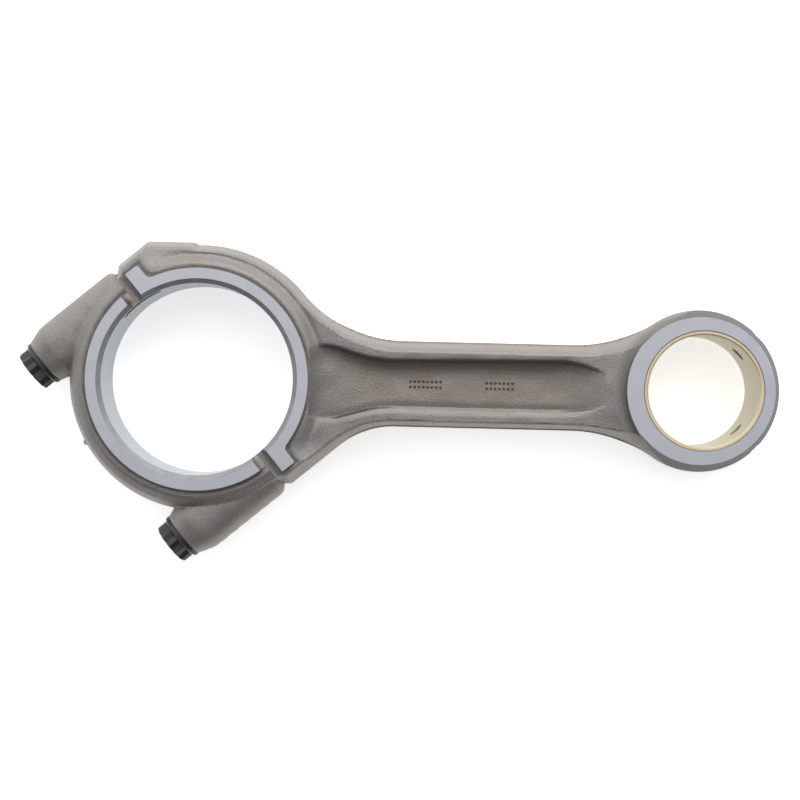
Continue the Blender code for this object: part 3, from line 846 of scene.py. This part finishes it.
def plain_floor(colours):
    """Plain opal floor, lit from below as well, so that shadows stay faint."""
    material, _, shader, _ = start_material("studio_floor", 0.0, 0.9)
    shader.inputs['Base Color'].default_value = srgb(colours.floor)
    shader.inputs['Emission Color'].default_value = srgb(colours.floor)
    shader.inputs['Emission Strength'].default_value = 0.66
    return material


# ---------------------------------------------------------------- dressing the machined forgings
FORGED, GROUND, BORED, TURNED, CRACKED, SIDE = range(6)


def face_tables(mesh):
    """Centres, in rod-frame millimetres, and normals of all faces."""
    count = len(mesh.polygons)
    centres, normals = np.empty(count * 3), np.empty(count * 3)
    mesh.polygons.foreach_get('center', centres)
    mesh.polygons.foreach_get('normal', normals)
    return (centres.reshape(-1, 3) - np.array(ORIGIN)) / MM, normals.reshape(-1, 3)


def choose_finish(centres, normals, worst, sizes):
    """Finish of each face, from its place, its direction and its distance from the forged shape."""
    x, y, z = centres.T
    r, q = np.hypot(x, y), np.hypot(x - CENTRE_DISTANCE, y)    # from the big and the small bore's axis
    u, v = to_joint(x, y)
    bore = sizes.big_bore / MM
    under_face = np.abs(z) < HALF - 0.1
    bolt_hole = np.hypot(np.abs(u) - BOLT_U, z) < BOLT_HOLE + 0.4
    seat = (np.abs(v - SEAT_V) < 0.15) & under_face
    big_end = r < bore + sizes.big_chamfer / MM + 0.4
    small_end = q < sizes.small_bore / MM + 1.0
    cut = big_end | small_end | bolt_hole | seat
    finish = np.where(cut & (worst >= SKIN_FIT), TURNED, FORGED)
    finish[np.abs(z) > HALF - 0.05] = GROUND
    finish[(np.abs(r - bore) < 0.15) & (np.abs(normals[:, 2]) < 0.2)] = BORED
    finish[(np.abs(v) < GAP + 0.05) & (np.abs(normals @ np.array([*V_DIR, 0])) > 0.9)] = CRACKED
    # the relief channel and the hollow beside the eye look like the raw skin
    relief = np.hypot(v - RELIEF_V, np.abs(z) - (HALF - RELIEF_DEPTH + RELIEF_R))
    finish[np.abs(relief - RELIEF_R) < 0.12] = FORGED
    spot = (np.abs(q - sizes.spot_face / MM - 11.0) < 11.1) & under_face & (np.abs(z) > 16.0)
    finish[spot] = FORGED
    # the eye's side is turned nearly down to the parting line, but for the neck
    around = np.degrees(np.arctan2(y, x - CENTRE_DISTANCE))
    lowest = np.interp(around, (-140.0, -112.0, 95.0, 120.0), (HALF, 1.0, 1.0, HALF))
    finish[(np.abs(z) > lowest) & under_face & (q > 34.0) & (q < 42.8)] = SIDE
    return finish


def dress(obj, height, colours, sizes):
    """Give every face its finish, and the forged skin the smooth normals of its own shape."""
    mesh = obj.data
    mesh.materials.clear()
    for made in (forged_steel(colours), ground_steel(colours), bored_steel(colours), turned_steel(colours),
                 cracked_steel(), copy_turned_side(colours)):
        mesh.materials.append(made)
    centres, normals = face_tables(mesh)
    points = np.empty(len(mesh.vertices) * 3)
    mesh.vertices.foreach_get('co', points)
    points = (points.reshape(-1, 3) - np.array(ORIGIN)) / MM
    face_sizes = np.empty(len(mesh.polygons), dtype=int)
    mesh.polygons.foreach_get('loop_total', face_sizes)
    corner = np.empty(len(mesh.loops), dtype=int)
    mesh.loops.foreach_get('vertex_index', corner)
    owner = np.repeat(np.arange(len(mesh.polygons)), face_sizes)
    # how far each vertex lies off the forged shape, and the worst vertex of each face
    value, rise_x, rise_y = slope(height, points[:, 0], points[:, 1])
    off = np.abs(np.abs(points[:, 2]) - value) / np.sqrt(rise_x ** 2 + rise_y ** 2 + 1.0)
    worst = np.zeros(len(mesh.polygons))
    np.maximum.at(worst, owner, off[corner])
    finish = choose_finish(centres, normals, worst, sizes)
    mesh.polygons.foreach_set('material_index', finish)
    # the pocket's lower wall is finer than the mesh, so its shading is taken as a fillet's
    wall = (points[:, 0] > 62.0) & (points[:, 0] < 212.0) & (points[:, 1] < 0.0) & (points[:, 1] > -19.5)
    rise_y = np.where(wall, np.maximum(rise_y, -0.35), rise_y)
    smooth = np.stack((-rise_x, -rise_y, np.ones_like(rise_x)), 1)
    smooth /= np.linalg.norm(smooth, axis=1)[:, None]
    corner_normals = smooth[corner]
    corner_normals[:, 2] *= np.sign(centres[owner, 2])
    # a face that stands well off the shape's own slope was left by a cutter
    agree = ((corner_normals * normals[owner]).sum(1) > 0.82) | wall[corner]
    # the flanks are steep near the parting line, so their points may lie farther off
    loose = np.where(np.abs(centres[:, 2]) < 2.5, 0.8, SKIN_FIT)
    skin = np.isin(finish[owner], (FORGED, SIDE)) & (worst < loose)[owner] & agree
    final = np.where(skin[:, None], corner_normals, normals[owner])
    in_bore = finish[owner] == BORED
    on_bore = points[corner][in_bore]
    final[in_bore] = on_bore * (-1, -1, 0) / np.hypot(on_bore[:, 0], on_bore[:, 1])[:, None]
    mesh.polygons.foreach_set('use_smooth', np.ones(len(mesh.polygons), dtype=bool))
    mesh.normals_split_custom_set(final.tolist())
    mesh.update()


# ---------------------------------------------------------------- geometry nodes
def dot_tree():
    """A flat round dot on every point."""
    tree = bpy.data.node_groups.new("punch_dots", 'GeometryNodeTree')
    names = {}
    for name, kind in (("Geometry", 'NodeSocketGeometry'), ("Radius", 'NodeSocketFloat'),
                       ("Depth", 'NodeSocketFloat'), ("Material", 'NodeSocketMaterial')):
        names[name] = tree.interface.new_socket(name, in_out='INPUT', socket_type=kind).identifier
    tree.interface.new_socket("Geometry", in_out='OUTPUT', socket_type='NodeSocketGeometry')
    given = tree.nodes.new('NodeGroupInput').outputs
    dot = add_node(tree, 'GeometryNodeMeshCylinder', {'Vertices': 12, 'Radius': given["Radius"],
                                                      'Depth': given["Depth"]})
    dots = add_node(tree, 'GeometryNodeInstanceOnPoints', {'Points': given["Geometry"],
                                                           'Instance': dot.outputs['Mesh']})
    real = add_node(tree, 'GeometryNodeRealizeInstances', {'Geometry': dots.outputs['Instances']})
    finish = add_node(tree, 'GeometryNodeSetMaterial', {'Geometry': real.outputs['Geometry'],
                                                        'Material': given["Material"]})
    out = tree.nodes.new('NodeGroupOutput')
    tree.links.new(finish.outputs['Geometry'], out.inputs[0])
    return tree, names


def made_by(obj, tree, names, values):
    """Mesh that a node tree makes of an object with these input values."""
    modifier = obj.modifiers.new('made', 'NODES')
    modifier.node_group = tree
    for key, value in values.items():
        modifier[names[key]] = value
    graph = bpy.context.evaluated_depsgraph_get()
    graph.update()
    mesh = bpy.data.meshes.new_from_object(obj.evaluated_get(graph))
    obj.modifiers.remove(modifier)
    return mesh


def bolt_tree():
    """Twelve-point head from two crossed hexagons, and a helical thread, along +z from the seat."""
    tree = bpy.data.node_groups.new("twelve_point_bolt", 'GeometryNodeTree')
    face = tree.interface
    names = {}
    for name, kind in (("Geometry", 'NodeSocketGeometry'), ("Corner Radius", 'NodeSocketFloat'),
                       ("Head Height", 'NodeSocketFloat'), ("Thread Radius", 'NodeSocketFloat'),
                       ("Pitch", 'NodeSocketFloat'), ("Turns", 'NodeSocketFloat'),
                       ("Thread Start", 'NodeSocketFloat'), ("Material", 'NodeSocketMaterial')):
        names[name] = face.new_socket(name, in_out='INPUT', socket_type=kind).identifier
    face.new_socket("Geometry", in_out='OUTPUT', socket_type='NodeSocketGeometry')
    given = tree.nodes.new('NodeGroupInput').outputs
    prisms = []
    for turn in (0.0, math.pi / 6):
        prism = add_node(tree, 'GeometryNodeMeshCylinder', {'Vertices': 6, 'Radius': given["Corner Radius"],
                                                            'Depth': given["Head Height"]})
        placed = add_node(tree, 'GeometryNodeTransform',
                          {'Geometry': prism.outputs['Mesh'], 'Rotation': (0, 0, turn)})
        prisms.append(placed.outputs['Geometry'])
    head = add_node(tree, 'GeometryNodeMeshBoolean', operation='UNION', solver='MANIFOLD')
    for prism in prisms:
        tree.links.new(prism, head.inputs['Mesh 2'])
    # cone that takes the corners off the top of the head, at 45 degrees
    crown = add_node(tree, 'ShaderNodeMath', {0: given["Corner Radius"], 1: 0.955}, operation='MULTIPLY')
    skirt = add_node(tree, 'ShaderNodeMath', {0: crown.outputs[0], 1: given["Head Height"]}, operation='ADD')
    cone = add_node(tree, 'GeometryNodeMeshCone', {'Vertices': 72, 'Radius Top': skirt.outputs[0],
                                                   'Radius Bottom': crown.outputs[0],
                                                   'Depth': given["Head Height"]})
    drop = add_node(tree, 'ShaderNodeMath', {0: given["Head Height"], 1: -0.5}, operation='MULTIPLY')
    lift = add_node(tree, 'ShaderNodeCombineXYZ', {'Z': drop.outputs[0]})
    cone_placed = add_node(tree, 'GeometryNodeTransform', {'Geometry': cone.outputs['Mesh'],
                                                           'Translation': lift.outputs[0]})
    cut = add_node(tree, 'GeometryNodeMeshBoolean', operation='INTERSECT', solver='MANIFOLD')
    for solid in (head, cone_placed):
        tree.links.new(solid.outputs[0], cut.inputs['Mesh 2'])
    head_placed = add_node(tree, 'GeometryNodeTransform', {'Geometry': cut.outputs['Mesh'],
                                                           'Translation': lift.outputs[0]})
    depth = add_node(tree, 'ShaderNodeMath', {0: given["Pitch"], 1: 0.36}, operation='MULTIPLY').outputs[0]
    centre_line = add_node(tree, 'ShaderNodeMath', {0: given["Thread Radius"], 1: depth},
                           operation='SUBTRACT')
    length = add_node(tree, 'ShaderNodeMath', {0: given["Pitch"], 1: given["Turns"]}, operation='MULTIPLY')
    spiral = add_node(tree, 'GeometryNodeCurveSpiral', {'Resolution': 40, 'Rotations': given["Turns"],
                                                        'Start Radius': centre_line.outputs[0],
                                                        'End Radius': centre_line.outputs[0],
                                                        'Height': length.outputs[0]})
    ridge = add_node(tree, 'GeometryNodeCurvePrimitiveCircle', {'Resolution': 4, 'Radius': depth},
                     mode='RADIUS')
    thread = add_node(tree, 'GeometryNodeCurveToMesh',
                      {'Curve': spiral.outputs['Curve'], 'Profile Curve': ridge.outputs['Curve'],
                       'Fill Caps': True})
    rise = add_node(tree, 'ShaderNodeCombineXYZ', {'Z': given["Thread Start"]})
    thread_placed = add_node(tree, 'GeometryNodeTransform', {'Geometry': thread.outputs['Mesh'],
                                                             'Translation': rise.outputs[0]})
    joined = add_node(tree, 'GeometryNodeJoinGeometry')
    for part in (head_placed, thread_placed):
        tree.links.new(part.outputs['Geometry'], joined.inputs['Geometry'])
    real = add_node(tree, 'GeometryNodeRealizeInstances', {'Geometry': joined.outputs['Geometry']})
    finish = add_node(tree, 'GeometryNodeSetMaterial', {'Geometry': real.outputs['Geometry'],
                                                        'Material': given["Material"]})
    out = tree.nodes.new('NodeGroupOutput')
    tree.links.new(finish.outputs['Geometry'], out.inputs[0])
    return tree, names


def make_bolt(name, side, tree, names, sizes, material):
    """One bolt: turned shank and flange, with head and thread from the node tree."""
    obj = new_object(name, [(0, 0, 0)], [])
    collar, sunk = 3.0 * MM, 2.9 * MM       # flange under the head, and how deep the head goes into it
    thread_start = -SEAT_V * MM + BOLT_REACH * MM - sizes.pitch * (sizes.turns + 1.2)
    made = made_by(obj, tree, names, {
        "Corner Radius": sizes.head_radius, "Head Height": sizes.head_height - collar,
        "Thread Radius": sizes.thread_radius, "Pitch": sizes.pitch, "Turns": float(sizes.turns),
        "Thread Start": thread_start, "Material": material})
    work = bmesh.new()
    work.from_mesh(made)
    for vertex in work.verts:
        if vertex.co.z <= 1e-6:
            vertex.co.z -= sunk
    core = (sizes.thread_radius - 0.9 * MM) / MM
    flange = sizes.flange_radius / MM
    shank = 6.1
    length = -SEAT_V + BOLT_REACH
    start = thread_start / MM
    profile = [(0.0, -3.6), (flange - 2.4, -3.6), (flange - 1.4, -3.3), (flange - 0.35, -2.6), (flange, -2.2),
               (flange, -0.35), (flange - 0.35, 0.0), (shank + 0.9, 0.0), (shank + 0.5, 0.6), (shank, 1.4),
               (shank, start - 2.0), (core + 0.45, start - 1.0), (core, start), (core, length - 1.0),
               (core - 1.0, length), (0.0, length)]
    segments = 96
    rings = []
    for radius, z in profile:
        if radius == 0.0:
            rings.append([work.verts.new((0, 0, z * MM))])
        else:
            rings.append([work.verts.new((radius * MM * math.cos(t), radius * MM * math.sin(t), z * MM))
                          for t in (2 * math.pi * i / segments for i in range(segments))])
    for a, b in zip(rings, rings[1:]):
        for i in range(segments):
            j = (i + 1) % segments
            if len(a) == 1:
                work.faces.new((a[0], b[j], b[i]))
            elif len(b) == 1:
                work.faces.new((a[i], a[j], b[0]))
            else:
                work.faces.new((a[i], a[j], b[j], b[i]))
    bmesh.ops.recalc_face_normals(work, faces=work.faces)
    seat = Vector((*joint_xy(side * BOLT_U, SEAT_V), 0.0)) * MM + ORIGIN
    along = Vector((*V_DIR, 0.0))
    first = Vector((0, 0, 1))
    second = along.cross(first)
    turn = Matrix((first, second, along)).transposed().to_4x4()
    work.transform(Matrix.Translation(seat) @ turn)
    work.to_mesh(obj.data)
    work.free()
    bpy.data.meshes.remove(made)
    obj.data.materials.clear()
    obj.data.materials.append(material)
    for face in obj.data.polygons:
        face.use_smooth = True
    obj.data.set_sharp_from_angle(angle=math.radians(28))
    bevel = obj.modifiers.new('edges', 'BEVEL')
    bevel.width, bevel.segments, bevel.limit_method = 0.35 * MM, 2, 'ANGLE'
    bevel.angle_limit = math.radians(35)
    bevel.harden_normals = True
    return obj


# ---------------------------------------------------------------- operators
class ROD_OT_body(bpy.types.Operator):
    """Forge and machine the rod body"""
    bl_idname = "rod.body"
    bl_label = "Rod body"

    def execute(self, context):
        sizes, colours = context.scene.rod_sizes, context.scene.rod_colours
        outline = rod_outline()
        height = rod_height(outline, sizes.wave / MM)
        points, faces = draw_surface(height, (-74.0, -72.0), (304.0, 78.0), sizes.rod_grid / MM)
        rod = new_object("forged_rod", points, faces)
        small, spot = sizes.small_bore / MM, sizes.spot_face / MM
        centre = (CENTRE_DISTANCE, 0.0)
        removed = shared_cutters(sizes)
        for side in (1, -1):
            removed.append(trim_plate(side, (-90, -100), (320, 100)))
            # hollow beside the eye, from the ground face outwards: radius and height over the mid plane
            steps = [(spot, 26.0), (spot, 20.3), (spot + 0.9, 19.3), (spot + 2.4, 18.6), (spot + 22.0, 16.6),
                     (spot + 24.0, 26.0)]
            removed.append(ring_solid("spot_face", [(r, side * z) for r, z in steps], centre))
        # the bore's edges are broken by 0.25 mm, on a cone that runs on 6 mm past the faces
        wide, edge = small + 6.25, HALF - 0.25
        removed.append(turned("small_bore",
                              ((wide, -HALF - 6), (small, -edge), (small, edge), (wide, HALF + 6)), centre))
        before, chamfer = 10.0, 0.85      # each bolt drill starts this far before the joint
        for side in (1, -1):
            removed.append(oil_drill(side, (25, 48), 3.3, 40))
            start = (*joint_xy(BOLT_U * side, -before), 0.0)
            drill = ((0, BOLT_HOLE + before + chamfer), (before + chamfer, BOLT_HOLE), (38.0, BOLT_HOLE),
                     (41.6, 0.4))
            removed.append(rod_of_rings("bolt_hole", start, (*V_DIR, 0), drill))
        removed.append(joint_box("joint", (-120, 120), (-120, GAP), (-60, 60)))
        machine(rod, [plate("ground_plan", ground_plan(), -HALF, HALF)], removed)
        dress(rod, height, colours, sizes)
        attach(rod, "rod")
        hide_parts("rod_body")
        return {'FINISHED'}


class ROD_OT_marks(bpy.types.Operator):
    """Punch plain dots into the web and leave the trimmed flash along the shank's parting line"""
    bl_idname = "rod.marks"
    bl_label = "Marks and flash"

    def execute(self, context):
        sizes, colours = context.scene.rod_sizes, context.scene.rod_colours
        outline = rod_outline()
        height = rod_height(outline, sizes.wave / MM)
        pitch = 2.2
        places = []
        # two groups of two rows: where each begins along the web, and its number of columns
        for start, count in ((108.0, 8), (147.0, 7)):
            places += [(start + pitch * k, row * pitch) for k in range(count) for row in (-0.64, 0.64)]
        x, y = np.array(places).T
        level = height(x, y) - 0.02
        dots = new_object("punch_marks", np.stack((x, y, level), 1), [])
        tree, names = dot_tree()
        dots.data = made_by(dots, tree, names, {"Radius": 0.8 * MM, "Depth": 0.16 * MM,
                                                "Material": tinted_mark(colours)})
        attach(dots, "rod")
        # flash is left from beside the big end's ears to the eye
        along = (outline[:, 0] > 62.0) & (outline[:, 0] < 232.0)
        skin = forged_steel(colours)
        for name, side in (("lower_flash", -1), ("upper_flash", 1)):
            path = outline[along & (outline[:, 1] * side > 0)]
            flash = strip(name, path, 0.8, 0.5, 1.5)
            flash.data.materials.append(skin)
            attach(flash, "rod")
        return {'FINISHED'}


class ROD_OT_cap(bpy.types.Operator):
    """Forge and machine the bearing cap"""
    bl_idname = "rod.cap"
    bl_label = "Bearing cap"

    def execute(self, context):
        sizes, colours = context.scene.rod_sizes, context.scene.rod_colours
        height = cap_height(sizes.wave / MM)
        points, faces = draw_surface(height, (-106.0, -106.0), (80.0, 80.0), sizes.cap_grid / MM)
        cap = new_object("forged_cap", points, faces)
        removed = shared_cutters(sizes)
        for side in (1, -1):
            removed.append(trim_plate(side, (-120, -120), (120, 120)))
            lane = sorted((side * 38.5, side * 84.0))
            removed.append(joint_box("seat", lane, (-80.0, SEAT_V), (-30, 30)))
            start = (*joint_xy(BOLT_U * side, -70.0), 0.0)
            removed.append(rod_of_rings("bolt_hole", start, (*V_DIR, 0), ((0, BOLT_HOLE), (90, BOLT_HOLE))))
        removed.append(joint_box("joint", (-120, 120), (-GAP, 120), (-60, 60)))
        plan = list(arc((0, 0), FACE_R, 0, 360, 241))[:-1]
        machine(cap, [plate("ground_plan", plan, -HALF, HALF)], removed)
        dress(cap, height, colours, sizes)
        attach(cap, "cap")
        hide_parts("bearing_cap")
        return {'FINISHED'}


class ROD_OT_bush(bpy.types.Operator):
    """Turn the small-end bush and drill its oil holes"""
    bl_idname = "rod.bush"
    bl_label = "Small-end bush"

    def execute(self, context):
        sizes, colours = context.scene.bush_sizes, context.scene.rod_colours
        outer, inner = sizes.outer / MM, sizes.inner / MM
        half = HALF - sizes.inset / MM
        profile = [(inner, -half + 1.0), (inner, half - 1.0), (inner + 0.1, half - 0.6), (inner + 0.7, half),
                   (outer - 0.15, half), (outer, half - 0.15), (outer, -half + 0.15), (outer - 0.15, -half),
                   (inner + 0.7, -half), (inner + 0.1, -half + 0.6)]
        bush = ring_solid("bronze_bush", profile, (CENTRE_DISTANCE, 0.0))
        hole = sizes.oil_hole / MM
        for side in (1, -1):
            combine(bush, oil_drill(side, (24, 34), hole, 48), 'DIFFERENCE')
        bush.data.materials.clear()
        bush.data.materials.append(bored_bronze("bored_bronze", colours.bronze, "#aea284"))
        bush.data.materials.append(bored_bronze("turned_bronze", colours.bronze_edge, "#c6b48c"))
        for face in bush.data.polygons:
            face.use_smooth = True
            face.material_index = int(abs(face.normal.z) > 0.3)
        bush.data.set_sharp_from_angle(angle=math.radians(24))
        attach(bush, "rod")
        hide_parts("small_end_bush")
        return {'FINISHED'}


class ROD_OT_bolts(bpy.types.Operator):
    """Make both twelve-point cap bolts"""
    bl_idname = "rod.bolts"
    bl_label = "Cap bolts"

    def execute(self, context):
        sizes, colours = context.scene.bolt_sizes, context.scene.rod_colours
        tree, names = bolt_tree()
        material = phosphate(colours)
        for name, side, body, node in (("upper_bolt", -1, "bolt_upper", "upper_cap_bolt"),
                                       ("lower_bolt", 1, "bolt_lower", "lower_cap_bolt")):
            bolt = make_bolt(name, side, tree, names, sizes, material)
            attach(bolt, body)
            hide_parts(node)
        return {'FINISHED'}


def soft_light(name, place, target, size, power):
    data = bpy.data.lights.new(name, 'AREA')
    data.shape, data.size, data.size_y, data.energy = 'RECTANGLE', size[0], size[1], power
    lamp = bpy.data.objects.new(name, data)
    lamp.location = place
    lamp.rotation_euler = (Vector(target) - Vector(place)).to_track_quat('-Z', 'Y').to_euler()
    bpy.context.scene.collection.objects.link(lamp)


class ROD_OT_stage(bpy.types.Operator):
    """Lay the pale floor, hang the soft lights and set the camera"""
    bl_idname = "rod.stage"
    bl_label = "Stage"

    def execute(self, context):
        stage, colours = context.scene.stage_sizes, context.scene.rod_colours
        reach, level = 4000.0, -HALF - 0.05
        corners = [(-reach, -reach, level), (reach, -reach, level), (reach, reach, level),
                   (-reach, reach, level)]
        floor = new_object("floor", corners, [(0, 1, 2, 3)])
        floor.data.materials.append(plain_floor(colours))
        world = bpy.data.worlds.new("soft_sky")
        world.use_nodes = True
        tree = world.node_tree
        direction = add_node(tree, 'ShaderNodeTexCoord').outputs['Generated']
        lightward = add_node(tree, 'ShaderNodeVectorMath', {0: direction, 1: (-0.1, 0.995, 0.0)},
                             operation='DOT_PRODUCT')
        strength = add_node(tree, 'ShaderNodeMapRange',
                            {'Value': lightward.outputs['Value'], 'From Min': -0.5, 'From Max': 0.8,
                             'To Min': stage.sky_low, 'To Max': stage.sky_high})
        background = tree.nodes['Background']
        background.inputs['Color'].default_value = (1, 1, 1, 1)
        tree.links.new(strength.outputs[0], background.inputs['Strength'])
        context.scene.world = world
        soft_light("key", (0.35, 1.2, 1.2), (0, 0, 0), (1.0, 0.8), stage.key)
        camera_data = bpy.data.cameras.new("camera")
        camera_data.lens, camera_data.sensor_width = stage.lens, 36.0
        # the rod lies a little off the middle of the frame
        camera_data.shift_x, camera_data.shift_y = 0.00625, -0.01875
        camera = bpy.data.objects.new("camera", camera_data)
        camera.location = (ORIGIN.x + 0.1001, ORIGIN.y - 0.0006, stage.camera_height)
        camera.rotation_euler = (0, 0, stage.roll)
        context.scene.collection.objects.link(camera)
        context.scene.camera = camera
        context.scene.view_settings.view_transform = 'Standard'
        return {'FINISHED'}


class ROD_PT_panel(bpy.types.Panel):
    bl_label = "Connecting rod"
    bl_idname = "ROD_PT_panel"
    bl_space_type = 'VIEW_3D'
    bl_region_type = 'UI'
    bl_category = "Rod"

    def draw(self, context):
        for holder in ("rod_sizes", "bush_sizes", "bolt_sizes", "rod_colours", "stage_sizes"):
            group = getattr(context.scene, holder)
            box = self.layout.box()
            for key in group.__annotations__:
                box.prop(group, key)
        for operator in OPERATORS:
            self.layout.operator(operator.bl_idname)


GROUPS = {"rod_sizes": RodSizes, "bush_sizes": BushSizes, "bolt_sizes": BoltSizes,
          "rod_colours": FinishColours, "stage_sizes": StageSizes}
OPERATORS = (ROD_OT_body, ROD_OT_marks, ROD_OT_cap, ROD_OT_bush, ROD_OT_bolts, ROD_OT_stage)


def register():
    for kind in (*GROUPS.values(), *OPERATORS, ROD_PT_panel):
        bpy.utils.register_class(kind)
    for name, group in GROUPS.items():
        setattr(bpy.types.Scene, name, PointerProperty(type=group))


def unregister():
    for name in GROUPS:
        delattr(bpy.types.Scene, name)
    for kind in reversed((*GROUPS.values(), *OPERATORS, ROD_PT_panel)):
        bpy.utils.unregister_class(kind)


def main():
    register()
    bpy.ops.rod.body()
    bpy.ops.rod.marks()
    bpy.ops.rod.cap()
    bpy.ops.rod.bush()
    bpy.ops.rod.bolts()
    bpy.ops.rod.stage()


if __name__ == "__main__":
    main()
